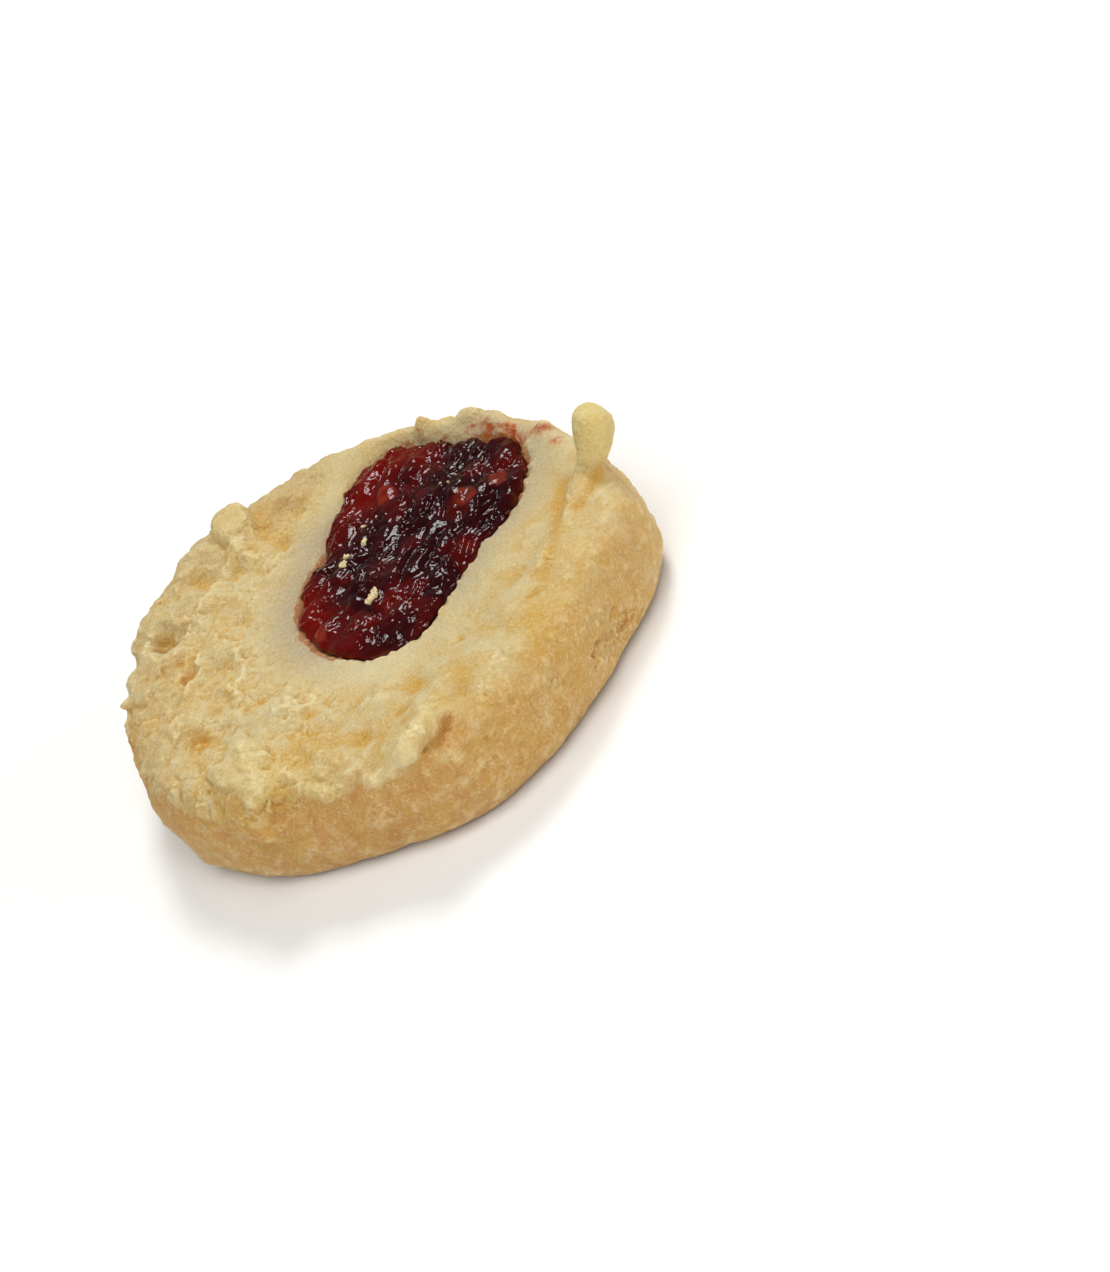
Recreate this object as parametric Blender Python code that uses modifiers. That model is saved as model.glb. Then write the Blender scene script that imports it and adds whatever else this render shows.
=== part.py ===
"""A piped butter biscuit with a pool of red berry jam, resting flat on its baked base.

Sizes are in millimetres and are turned to metres when an object is finished. The origin is the
centre of the flat base, +Z is up, and the far side of the biscuit as it is usually seen is +Y.
"""

import math

import bmesh
import bpy
import numpy
from mathutils import Matrix, Vector, noise
from mathutils.geometry import interpolate_bezier

MM = 0.001

# Driving dimensions. The radii are those of the round body that the outlines below then shape
RADIUS = 27.5
RIM_HEIGHT = 11.5
RIM_RADIUS = 24.8
BASE_RADIUS = 24.2
HOLLOW_RADIUS = 14.3
HOLLOW_EDGE = 10.4
HOLLOW_FLOOR = 7.6
JAM_GAP = 0.35
JAM_CROWN = 11.1
JAM_CENTRE = Vector((6.5, 6.0, 0.0))

# How finely the bodies are cut, in parts round the circle, and the shortest edge that fusing may leave
DOUGH_PARTS = 112
JAM_PARTS = 96
KNOB_PARTS = 12
SLIVER = 0.03

# Plan outline of the biscuit at its widest level, as degrees and reach
PLAN = [
    (0, 27.5), (25, 27.2), (50, 26.8), (80, 27.1), (105, 27.4), (120, 28.4), (132, 28.2), (155, 26.7),
    (175, 27.0), (205, 27.6), (222, 26.9), (245, 25.6), (272, 26.7), (298, 25.4), (320, 25.3), (343, 28.4),
]

# Outline of the jam about its own centre, as degrees and reach
JAM_PLAN = [
    (0, 14.2), (18, 14.7), (43, 13.2), (62, 14.7), (80, 15.2), (92, 14.6), (104, 12.0),
    (120, 10.2), (150, 9.0), (165, 10.4), (195, 13.3), (215, 15.0), (240, 16.7), (256, 16.0),
    (270, 13.0), (285, 10.7), (310, 10.0), (332, 12.0),
]

# Folds of the piped dough on the top: start, end, half width and height, where a hollow is negative
FOLDS = [
    ((22.8, -5.0), (16.6, -12.0), 1.3, 0.7),
    ((16.6, -12.0), (12.4, -15.6), 1.2, 0.5),
    ((19.6, -5.4), (14.2, -11.4), 1.2, -0.4),
    ((2.8, -19.7), (0.2, -22.4), 1.2, 0.9),
    ((-0.6, -23.2), (-2.8, -25.0), 1.3, 0.8),
    ((3.6, -21.6), (1.0, -25.0), 0.9, -0.9),
    ((-12.6, 4.0), (-14.0, -3.0), 1.5, 0.7),
    ((-10.4, -8.4), (-14.6, -13.6), 1.6, 0.6),
    ((-15.2, -10.4), (-17.4, -15.0), 1.8, 0.7),
    ((-21.0, -3.0), (-22.6, -9.0), 1.6, 0.5),
    ((-17.6, 16.6), (-13.4, 12.4), 1.6, 0.5),
    ((-11.5, 22.0), (-20.5, 15.0), 2.0, 0.7),
    ((-22.4, 8.6), (-17.0, 9.4), 1.4, 0.5),
    ((-19.6, 13.4), (-18.0, 11.2), 1.2, -1.0),
    ((-18.2, 6.0), (-17.0, 3.4), 1.0, -0.9),
    ((-20.0, -4.6), (-18.2, -8.0), 1.5, -0.9),
    ((-9.8, -13.4), (-7.0, -17.0), 1.5, -0.5),
    ((-3.0, 20.4), (-4.0, 16.4), 1.4, -0.6),
    ((4.4, 24.2), (2.0, 19.6), 1.6, 0.4),
    ((21.8, 3.0), (22.8, 8.0), 1.5, -0.4),
]

# Pulled-up ends and flakes fused to the dough: points of the middle line, with the radius at each
KNOBS = {
    "nozzle_tail": [
        ((20.2, -6.8, 11.0), 0.8),
        ((22.4, -4.9, 11.4), 0.9),
        ((23.9, -3.8, 11.9), 1.0),
        ((25.3, -3.5, 12.6), 1.4),
        ((26.2, -2.9, 13.3), 1.9),
        ((27.0, -2.0, 14.2), 2.2),
        ((27.4, -1.1, 15.0), 2.3),
        ((27.9, -0.2, 15.8), 2.1),
    ],
    "pulled_peak": [
        ((-7.4, 15.2, 9.6), 1.4),
        ((-7.7, 18.4, 10.2), 1.9),
        ((-7.8, 21.0, 11.0), 2.1),
        ((-7.7, 23.0, 11.7), 2.1),
        ((-7.5, 24.8, 12.1), 2.0),
    ],
    "peak_edge": [
        ((-6.3, 15.8, 10.2), 0.8),
        ((-6.3, 19.2, 11.2), 1.0),
        ((-6.3, 21.8, 12.1), 1.2),
        ((-6.5, 24.2, 12.4), 1.3),
    ],
    "shoulder_lump": [((-20.0, -11.2, 10.2), 1.8), ((-18.0, -15.6, 10.6), 2.7), ((-15.0, -19.6, 9.6), 2.0)],
    "shoulder_flake": [((-19.4, -15.6, 9.6), 1.6), ((-18.4, -18.6, 8.8), 1.8), ((-16.4, -20.8, 8.6), 1.4)],
    "near_crumb": [((-0.8, -22.2, 11.0), 1.2), ((-2.2, -24.0, 11.0), 1.5), ((-3.4, -25.6, 10.2), 1.2)],
    "left_flake": [((-22.8, 6.2, 10.2), 1.0), ((-25.4, 6.9, 11.1), 0.9)],
    "far_bump": [((13.4, 18.8, 10.0), 1.2), ((14.2, 20.2, 12.7), 1.1)],
    "far_crest": [((16.8, 17.4, 10.8), 1.0), ((18.8, 15.8, 11.2), 1.1), ((20.8, 13.2, 10.8), 1.0)],
    "far_nub": [((22.8, 8.2, 10.2), 0.9), ((24.2, 7.2, 12.0), 0.9)],
}

# Seeds that stand proud in the jam: place, half width and height
SEEDS = [
    ((7.5, 14.0), 1.3, 0.4),
    ((13.9, 5.5), 1.5, 0.4),
    ((17.2, 5.0), 1.2, 0.4),
    ((-4.6, -0.6), 1.1, 0.3),
    ((2.2, 3.0), 1.6, 0.3),
    ((9.6, 17.2), 1.8, 0.4),
]

# Where the unevenness fades in: over the height above the base, over the height of the shoulder,
# over the distance out from the jam, and over the width of the rim beside the jam
FOOT = (0.0, 2.5)
SHOULDER = (8.6, 10.6)
CALM_BAND = (0.8, 5.5)
NARROW_RIM = (1.0, 6.0)
JAM_EDGE_BAND = (12.6, HOLLOW_RADIUS)

# Surface unevenness: size of the lumps and how far they stand
TOP_LUMPS = (5.0, 0.6)
WALL_LUMPS = (4.5, 0.28)
KNOB_LUMPS = (2.6, 0.3)
JAM_LUMPS = (3.0, 0.3)


def clear_scene():
    """Start from an empty scene."""
    for old in list(bpy.data.objects):
        bpy.data.objects.remove(old, do_unlink=True)
    for old in list(bpy.data.collections):
        bpy.data.collections.remove(old)


def new_collection(name):
    """Add a collection to the scene."""
    collection = bpy.data.collections.new(name)
    bpy.context.scene.collection.children.link(collection)
    return collection


def make_material(name, colour, roughness):
    """A non-metallic Principled material."""
    material = bpy.data.materials.new(name)
    material.use_nodes = True
    shader = material.node_tree.nodes["Principled BSDF"]
    shader.inputs["Base Color"].default_value = (*colour, 1.0)
    shader.inputs["Roughness"].default_value = roughness
    shader.inputs["Metallic"].default_value = 0.0
    return material


def curve_through(points, parts):
    """Smooth curve through the points, cut into the given parts between each two."""
    points = [Vector(point) for point in points]
    ends = [points[0], *points, points[-1]]
    curve = [points[0]]
    for before, start, end, after in zip(ends, ends[1:], ends[2:], ends[3:]):
        leaving = start + (end - before) / 6
        arriving = end - (after - start) / 6
        curve += interpolate_bezier(start, leaving, arriving, end, parts + 1)[1:]
    return curve


def closed_outline(points, easing=13):
    """Reach at each whole degree, with the corners at the given points eased."""
    degrees, reaches = zip(*points)
    reach = numpy.interp(numpy.arange(360), degrees, reaches, period=360)
    weights = numpy.hanning(easing + 2)[1:-1]
    around = numpy.concatenate([reach[-(easing // 2):], reach, reach[:easing // 2]])
    return numpy.convolve(around, weights / weights.sum(), mode="valid")


PLAN_REACH = closed_outline(PLAN)
JAM_REACH = closed_outline(JAM_PLAN)


def reach_at(outline, angle):
    """Read an outline at an angle in radians."""
    return float(numpy.interp(math.degrees(angle), numpy.arange(360), outline, period=360))


def smooth_step(low, high, value):
    """Rise smoothly from 0 at low to 1 at high."""
    part = min(max((value - low) / (high - low), 0.0), 1.0)
    return part * part * (3.0 - 2.0 * part)


def bump(point, start, end, half_width):
    """1 on the line from start to end, falling smoothly to 0 at about twice the half width."""
    start = Vector(start)
    run = Vector(end) - start
    along = 0.0
    if run.length > 0.0:
        along = min(max((point - start).dot(run) / run.length_squared, 0.0), 1.0)
    distance = (point - start - run * along).length
    return math.exp(-((distance / half_width) ** 2))


def lumps(point, size_and_height):
    """Soft random unevenness, the same each run."""
    size, height = size_and_height
    return height * noise.noise(point / size) + 0.4 * height * noise.noise(point / size * 2.3)


def plan_place(radius, angle, hollow_side):
    """Where a point of the turned body lies in the uneven plan.

    Outside the rim crest the body follows the biscuit's outline. Inside the hollow it follows
    the jam's outline, and between the two it runs along a spoke from the jam's centre to the crest.
    """
    heading = Vector((math.cos(angle), math.sin(angle), 0.0))
    stretch = reach_at(PLAN_REACH, angle) / RADIUS
    if not hollow_side or radius >= RIM_RADIUS:
        return heading * radius * stretch
    crest = heading * RIM_RADIUS * stretch
    spoke = crest - JAM_CENTRE
    jam_edge = spoke.normalized() * reach_at(JAM_REACH, math.atan2(spoke.y, spoke.x))
    if radius <= HOLLOW_RADIUS:
        return JAM_CENTRE + jam_edge * radius / HOLLOW_RADIUS
    part = (radius - HOLLOW_RADIUS) / (RIM_RADIUS - HOLLOW_RADIUS)
    return (JAM_CENTRE + jam_edge).lerp(crest, part)


def turned_mesh(name, profile, parts):
    """Turn a profile of radius and height about Z, as one closed mesh."""
    outline = bpy.data.meshes.new(name + "_profile")
    edges = [(index, index + 1) for index in range(len(profile) - 1)]
    outline.from_pydata([(radius, 0.0, height) for radius, height in profile], edges, [])
    turned = bpy.data.objects.new(name + "_profile", outline)
    bpy.context.scene.collection.objects.link(turned)
    screw = turned.modifiers.new("turn", "SCREW")
    screw.steps = parts
    screw.render_steps = parts
    screw.use_merge_vertices = True
    screw.merge_threshold = 0.0001
    graph = bpy.context.evaluated_depsgraph_get()
    mesh = bpy.data.meshes.new_from_object(turned.evaluated_get(graph))
    mesh.name = name
    bpy.data.objects.remove(turned)
    bpy.data.meshes.remove(outline)
    return mesh


def shape_mesh(mesh, place, relief):
    """Move each vertex to its place in plan, then along its normal by the relief there.

    The relief reads the turned radius and angle too, because its masks follow the turned rings.
    """
    shaped = bmesh.new()
    shaped.from_mesh(mesh)
    bmesh.ops.remove_doubles(shaped, verts=shaped.verts, dist=0.0001)
    turned = {}
    for vertex in shaped.verts:
        turned[vertex] = vertex.co.xy.length, math.atan2(vertex.co.y, vertex.co.x)
        vertex.co.xy = place(*turned[vertex], vertex.co.z).xy
    shaped.normal_update()
    shifts = {vertex: vertex.normal * relief(vertex.co, *turned[vertex]) for vertex in shaped.verts}
    for vertex, shift in shifts.items():
        vertex.co += shift
    bmesh.ops.triangulate(shaped, faces=shaped.faces)
    shaped.to_mesh(mesh)
    shaped.free()


def dough_profile():
    """Section of the dough from the middle of the hollow over the rim to the middle of the base."""
    hollow = [(0.0, HOLLOW_FLOOR), (4.5, HOLLOW_FLOOR), (8.5, HOLLOW_FLOOR + 0.1)]
    wall_of_hollow = [(11.6, 8.0), (13.2, 8.9), (HOLLOW_RADIUS - 0.1, 9.9), (HOLLOW_RADIUS + 0.3, HOLLOW_EDGE)]
    top = [
        (HOLLOW_RADIUS + 0.3, HOLLOW_EDGE), (16.4, 10.8), (19.0, 11.1), (22.0, 11.5),
        (RIM_RADIUS - 1.2, RIM_HEIGHT), (RIM_RADIUS, RIM_HEIGHT - 0.2),
    ]
    side = [
        (RIM_RADIUS, RIM_HEIGHT - 0.2), (26.1, 10.4), (27.0, 8.8), (RADIUS, 6.4),
        (RADIUS, 3.8), (27.0, 1.9), (25.9, 0.6), (BASE_RADIUS, 0.0),
    ]
    base = [(20.0, 0.0), (12.0, 0.0), (0.0, 0.0)]
    curves = [(wall_of_hollow, 1), (top, 2), (side, 2)]
    rounded = []
    for points, parts in curves:
        curve = curve_through([(radius, height, 0.0) for radius, height in points], parts)
        rounded += [(point.x, point.y) for point in curve[1:]]
    return hollow + [wall_of_hollow[0]] + rounded + base


def jam_profile():
    """Section of the jam: domed on top, and inside the hollow by the gap on its side and below."""
    edge = HOLLOW_RADIUS - JAM_GAP
    return [
        (0.0, JAM_CROWN), (3.0, JAM_CROWN), (5.6, JAM_CROWN - 0.05), (8.0, JAM_CROWN - 0.1),
        (10.2, JAM_CROWN - 0.25), (12.0, JAM_CROWN - 0.4), (13.2, 10.5), (edge, 10.1),
        (edge - 0.3, 9.6), (12.8, 9.1), (11.3, 8.5), (8.3, 8.0), (4.0, 7.95), (0.0, 7.95),
    ]


def dough_place(radius, angle, height):
    """The turned dough's plan, where only the upper side has the hollow."""
    return plan_place(radius, angle, hollow_side=height > HOLLOW_FLOOR / 2)


def jam_place(radius, angle, height):
    """The jam's plan is the hollow's."""
    return plan_place(radius, angle, hollow_side=True)


def dough_relief(point, radius, angle):
    """Unevenness of the dough: folds and lumps on top, smooth next to the jam, flat under."""
    if radius < HOLLOW_RADIUS:
        return 0.0
    rim_band = plan_place(RIM_RADIUS, angle, True) - plan_place(HOLLOW_RADIUS, angle, True)
    rough = smooth_step(*NARROW_RIM, rim_band.length) * smooth_step(*CALM_BAND, radius - HOLLOW_RADIUS)
    flat = Vector(point.xy)
    folds = sum(height * bump(flat, start, end, width) for start, end, width, height in FOLDS)
    upper = smooth_step(*SHOULDER, point.z)
    top = upper * rough * (lumps(point, TOP_LUMPS) + folds)
    wall = (1.0 - upper) * smooth_step(*FOOT, point.z) * lumps(point, WALL_LUMPS)
    return top + wall


def jam_relief(point, radius, angle):
    """Wrinkles and seeds on the open face of the jam, none on the faces in the hollow."""
    if point.z < HOLLOW_EDGE - 0.2:
        return 0.0
    flat = Vector(point.xy)
    inside = 1.0 - smooth_step(*JAM_EDGE_BAND, radius)
    seeds = sum(height * bump(flat, place, place, width) for place, width, height in SEEDS)
    return inside * (lumps(point, JAM_LUMPS) + seeds)


def add_object(name, mesh, material, collection):
    """Link a shaped mesh as an object of the model."""
    thing = bpy.data.objects.new(name, mesh)
    mesh.materials.clear()
    mesh.materials.append(material)
    collection.objects.link(thing)
    return thing


def make_knob(name, stations, collection):
    """A ball bent along the stations and as wide as they say, to be fused to the dough."""
    line = curve_through([place for place, radius in stations], 3)
    steps = numpy.linspace(0.0, 1.0, len(line))
    widths = numpy.interp(steps, numpy.linspace(0.0, 1.0, len(stations)), [radius for place, radius in stations])
    ball = bmesh.new()
    rings = 4 + 2 * len(stations)
    bmesh.ops.create_uvsphere(ball, u_segments=KNOB_PARTS, v_segments=rings, radius=1.0)
    for vertex in ball.verts:
        spot = (vertex.co.z + 1.0) / 2.0 * (len(line) - 1)
        index = min(max(int(spot), 0), len(line) - 2)
        step = line[index + 1] - line[index]
        # The ends are blunter than an ellipsoid's
        width = float(numpy.interp(spot, numpy.arange(len(line)), widths)) * math.sqrt(1.0 + vertex.co.z ** 2)
        side = Vector((vertex.co.x, vertex.co.y, 0.0)) * width
        vertex.co = line[index] + step * (spot - index) + step.to_track_quat("Z", "Y") @ side
    ball.normal_update()
    for vertex in ball.verts:
        vertex.co += vertex.normal * lumps(vertex.co, KNOB_LUMPS)
    mesh = bpy.data.meshes.new(name)
    ball.to_mesh(mesh)
    ball.free()
    knob = bpy.data.objects.new(name, mesh)
    knob.hide_render = True
    knob.display_type = "WIRE"
    collection.objects.link(knob)


def fuse(body, pieces):
    """Join the pieces to the body with one Boolean union, apply it and remove them."""
    union = body.modifiers.new("fuse", "BOOLEAN")
    union.operation = "UNION"
    union.operand_type = "COLLECTION"
    union.collection = pieces
    union.solver = "EXACT"
    graph = bpy.context.evaluated_depsgraph_get()
    fused = bpy.data.meshes.new_from_object(body.evaluated_get(graph))
    body.modifiers.clear()
    body.data = fused
    for piece in list(pieces.objects):
        bpy.data.objects.remove(piece)
    bpy.data.collections.remove(pieces)


def finish(thing):
    """Clear slivers, triangulate, turn millimetres to metres and shade smooth."""
    mesh = thing.data
    whole = bmesh.new()
    whole.from_mesh(mesh)
    bmesh.ops.dissolve_degenerate(whole, edges=whole.edges, dist=SLIVER)
    bmesh.ops.triangulate(whole, faces=whole.faces)
    whole.to_mesh(mesh)
    whole.free()
    mesh.transform(Matrix.Scale(MM, 4))
    mesh.shade_smooth()
    mesh.set_sharp_from_angle(angle=math.radians(50))


def make_biscuit(collection):
    """The baked dough: one turned body made uneven, with its pulled-up ends fused on."""
    mesh = turned_mesh("biscuit", dough_profile(), DOUGH_PARTS)
    shape_mesh(mesh, dough_place, dough_relief)
    dough = make_material("baked_dough", (0.60, 0.46, 0.25), 0.85)
    biscuit = add_object("biscuit", mesh, dough, collection)
    pieces = new_collection("knobs")
    for name, stations in KNOBS.items():
        make_knob(name, stations, pieces)
    fuse(biscuit, pieces)
    finish(biscuit)


def make_jam(collection):
    """The pool of jam that fills the hollow."""
    mesh = turned_mesh("jam", jam_profile(), JAM_PARTS)
    shape_mesh(mesh, jam_place, jam_relief)
    red = make_material("berry_jam", (0.10, 0.012, 0.012), 0.2)
    finish(add_object("jam", mesh, red, collection))


def main():
    clear_scene()
    cookie = new_collection("jam_cookie")
    make_biscuit(cookie)
    make_jam(cookie)


main()
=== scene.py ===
# Butter cookie with red berry jam: its looks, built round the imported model
# Lengths are in millimetres, and are turned to metres where a mesh is written
import math
import random

import bmesh
import bpy
import numpy as np
from mathutils import Euler, Matrix, Vector, noise
from mathutils.bvhtree import BVHTree
from mathutils.kdtree import KDTree


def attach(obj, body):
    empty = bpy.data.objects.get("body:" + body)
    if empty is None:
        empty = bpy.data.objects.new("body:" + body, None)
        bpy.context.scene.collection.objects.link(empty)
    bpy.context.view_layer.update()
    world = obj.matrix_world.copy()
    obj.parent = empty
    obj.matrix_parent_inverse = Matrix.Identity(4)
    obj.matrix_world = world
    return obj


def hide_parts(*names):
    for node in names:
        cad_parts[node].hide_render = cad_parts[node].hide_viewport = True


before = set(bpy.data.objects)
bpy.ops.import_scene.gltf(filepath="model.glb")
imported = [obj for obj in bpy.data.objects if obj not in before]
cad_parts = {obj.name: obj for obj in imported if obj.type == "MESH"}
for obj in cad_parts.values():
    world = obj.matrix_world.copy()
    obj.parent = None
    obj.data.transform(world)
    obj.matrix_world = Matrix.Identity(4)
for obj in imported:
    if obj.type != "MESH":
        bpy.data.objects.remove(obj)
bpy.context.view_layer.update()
mm = 0.001
jamMiddle = np.array([6.5, 6.0])  # in plan


def linear(hexColour):
    channels = [int(hexColour[start:start + 2], 16) / 255 for start in (1, 3, 5)]
    return [c / 12.92 if c <= 0.04045 else ((c + 0.055) / 1.055) ** 2.4 for c in channels] + [1.0]


def smoothStep(low, high, values):
    part = np.clip((values - low) / (high - low), 0.0, 1.0)
    return part * part * (3.0 - 2.0 * part)


# Mesh data is read and written as arrays, in millimetres

def readPoints(mesh):
    flat = np.empty(len(mesh.vertices) * 3)
    mesh.vertices.foreach_get("co", flat)
    return flat.reshape(-1, 3) / mm


def readNormals(mesh):
    flat = np.empty(len(mesh.vertices) * 3)
    mesh.vertices.foreach_get("normal", flat)
    return flat.reshape(-1, 3)


def writePoints(mesh, points):
    mesh.vertices.foreach_set("co", (points * mm).ravel())
    mesh.update()


def writeAttribute(mesh, name, values):
    attribute = mesh.attributes.new(name, "FLOAT", "POINT")
    attribute.data.foreach_set("value", np.clip(values, 0.0, 1.0))


def readEdges(mesh):
    flat = np.empty(len(mesh.edges) * 2, dtype=np.int32)
    mesh.edges.foreach_get("vertices", flat)
    return flat.reshape(-1, 2)


def relaxed(values, edges, rounds):
    # each value drifts to the mean of its neighbours
    count = len(values)
    share = np.bincount(edges.ravel(), minlength=count)
    columns = values.reshape(count, -1)
    for _ in range(rounds):
        sums = [np.bincount(edges[:, 0], columns[edges[:, 1], axis], count)
                + np.bincount(edges[:, 1], columns[edges[:, 0], axis], count)
                for axis in range(columns.shape[1])]
        columns = 0.4 * columns + 0.6 * np.stack(sums, axis=1) / share[:, None]
    return columns.reshape(values.shape)


def field(points, size, start=0.0):
    # soft random field, about -0.5 to 0.5, with lumps of the size given
    return np.array([noise.noise(place) for place in (points / size + start).tolist()])


def shaken(points, size, starts):
    # a soft random field for each axis
    return np.stack([field(points, size, start) for start in starts], axis=1)


def awayFrom(points, middle):
    return np.linalg.norm(points - np.array(middle), axis=1)


def fromAxis(points):
    return np.hypot(points[:, 0], points[:, 1])


def clumpRelief(points, size, share):
    # short dough breaks in clumps: each has a height of its own, a dome and a crevice round it
    relief = np.zeros(len(points))
    chosen = np.flatnonzero(share > 0.02)
    if len(chosen):
        cells = [noise.voronoi(place) for place in (points[chosen] / size).tolist()]
        near = np.array([distances[0] for distances, _ in cells])
        gap = np.array([distances[1] - distances[0] for distances, _ in cells])
        height = np.array([noise.noise(middles[0] * 3.7) for _, middles in cells])
        relief[chosen] = 0.9 * height + 0.7 * (0.4 - near) - 0.45 * smoothStep(0.16, 0.0, gap)
    return relief * share


def lineBump(points, line, halfWidth):
    # 1 on the line, falling to 0 at about twice the half width; a line of flat points is seen in plan
    best = np.zeros(len(points))
    for start, end in zip(line, line[1:] or line):
        start = np.array(start, dtype=float)
        run = np.array(end, dtype=float) - start
        flat = points[:, :len(start)]
        along = np.clip(((flat - start) @ run) / max(run @ run, 0.000001), 0.0, 1.0)
        gap = np.linalg.norm(flat - start - along[:, None] * run, axis=1)
        best = np.maximum(best, np.exp(-(gap / halfWidth) ** 2))
    return best


def newPiece(name, mesh, material, slot, *nodes):
    piece = bpy.data.objects.new(name, mesh)
    bpy.context.scene.collection.objects.link(piece)
    mesh.materials.clear()
    mesh.materials.append(material)
    mesh.shade_smooth()
    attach(piece, "root")
    if nodes:
        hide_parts(*nodes)


def remeshed(shape, voxel):
    # one even skin over everything in the bmesh
    mesh = bpy.data.meshes.new("skin")
    shape.to_mesh(mesh)
    shape.free()
    holder = bpy.data.objects.new("skin", mesh)
    bpy.context.scene.collection.objects.link(holder)
    skin = holder.modifiers.new("skin", "REMESH")
    skin.mode = "VOXEL"
    skin.voxel_size = voxel * mm
    graph = bpy.context.evaluated_depsgraph_get()
    result = bpy.data.meshes.new_from_object(holder.evaluated_get(graph))
    bpy.data.objects.remove(holder)
    bpy.data.meshes.remove(mesh)
    return result


def refine(mesh, wanted):
    # halve the faces whose corners are all wanted
    shape = bmesh.new()
    shape.from_mesh(mesh)
    faces = [face for face in shape.faces if all(wanted[vert.index] for vert in face.verts)]
    edges = dict.fromkeys(edge for face in faces for edge in face.edges)
    bmesh.ops.subdivide_edges(shape, edges=list(edges), cuts=1, use_grid_fill=True)
    shape.to_mesh(mesh)
    shape.free()


def nodeCopy(name):
    # the node's triangles are loose, so a copy is merged into one closed skin; the distance is in metres
    shape = bmesh.new()
    shape.from_mesh(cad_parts[name].data)
    bmesh.ops.remove_doubles(shape, verts=shape.verts, dist=0.000001)
    return shape


# Materials

def addNode(tree, kind, settings=None, inputs=None):
    node = tree.nodes.new("ShaderNode" + kind)
    for name, value in (settings or {}).items():
        setattr(node, name, value)
    for name, value in (inputs or {}).items():
        if isinstance(value, bpy.types.NodeSocket):
            tree.links.new(value, node.inputs[name])
        else:
            node.inputs[name].default_value = value
    return node


def newMaterial(name, settings):
    material = bpy.data.materials.new(name)
    material.use_nodes = True
    tree = material.node_tree
    shader = tree.nodes["Principled BSDF"]
    for socket, value in settings.items():
        shader.inputs[socket].default_value = value
    place = addNode(tree, "TexCoord").outputs["Object"]
    return material, tree, shader, place


def perSize(size):
    # noise scale for features of a size in millimetres, on coordinates in metres
    return 1.0 / (size * mm)


def layered(tree, look, base, layers):
    # lay the look's colours one over another, each by the socket that says where it shows
    colour = addNode(tree, "RGB").outputs[0]
    colour.default_value = linear(look[base])
    for name, share in layers:
        colour = addNode(tree, "MixRGB", None, {
            "Fac": share, "Color1": colour, "Color2": linear(look[name])}).outputs["Color"]
    return colour


def patchesOf(tree, texture, low, high, most, share):
    # where a texture lies past a level, times a share
    past = addNode(tree, "MapRange", {"interpolation_type": "SMOOTHSTEP"}, {
        "Value": texture.outputs["Fac"], "From Min": low, "From Max": high, "To Min": 0.0, "To Max": most})
    return addNode(tree, "Math", {"operation": "MULTIPLY"}, {0: past.outputs["Result"], 1: share}).outputs[0]


doughLook = {
    "pale": "#D1C091",               # top of the dough, hardly browned
    "greyAndShade": "#B5A587",               # beside the jam, where it is greyer, with painted shade on its left side
    "tan": "#CB9C5E",                # wall, browned on the tray; a little on outward faces of the top as painted warm shade
    "golden": "#CB9E4A",             # in pits and folds, where the butter browns and painted warm shade lies; in random patches too
    "chalk": "#E8DAAC",              # dry crests and floury grains
    "butter": "#CDA75A",             # top of the dough where it is browned a little, and painted warm shade on the outward faces of what stands up
    "yolk": "#DAC684",               # smooth pulled ends
    "shade": "#B59D72",              # rim, where it is darker
    "stainAndShade": "#B4542A",              # where jam has soaked in, and painted warm shade in crevices and the crack
    "soaked": "#A65C2C",             # dough that the jam's edge has wetted
    "rust": "#BF8444",               # small browned marks on the wall
    "cream": "#D8BF8A",              # less browned spots on the wall
    "brown": "#A8713C",              # base
    "grainSize": 0.3,                # crumb grain, in millimetres like all sizes here
    "speckSize": 0.65,               # spacing of the pale specks of sugar and flour
    "speckShare": 0.6,               # how many of them show
    "speckReach": (0.24, 0.05),      # a speck fades between these parts of the spacing
    "speckShake": 0.4,               # how ragged a speck's edge is
    "blotchSize": 1.3,               # spots of browned butter, and how strong they get on top
    "blotchMost": 0.4,
    "mottleSize": 1.4,               # uneven browning, and broader patches of it
    "patchSize": 4.5,
    "mottleBrowning": 0.2,           # how far mottle and patches shift the browning, each way
    "patchBrowning": 0.15,
    "mottleDepth": 0.25,             # relief that only the light shows
    "grainDepth": 0.28,
    "roughness": 0.7,
    "ior": 1.45,
    "scatter": 0.85,                 # share of the light that goes through the dough, and how deep
    "scatterDepth": 0.7,
}


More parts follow.
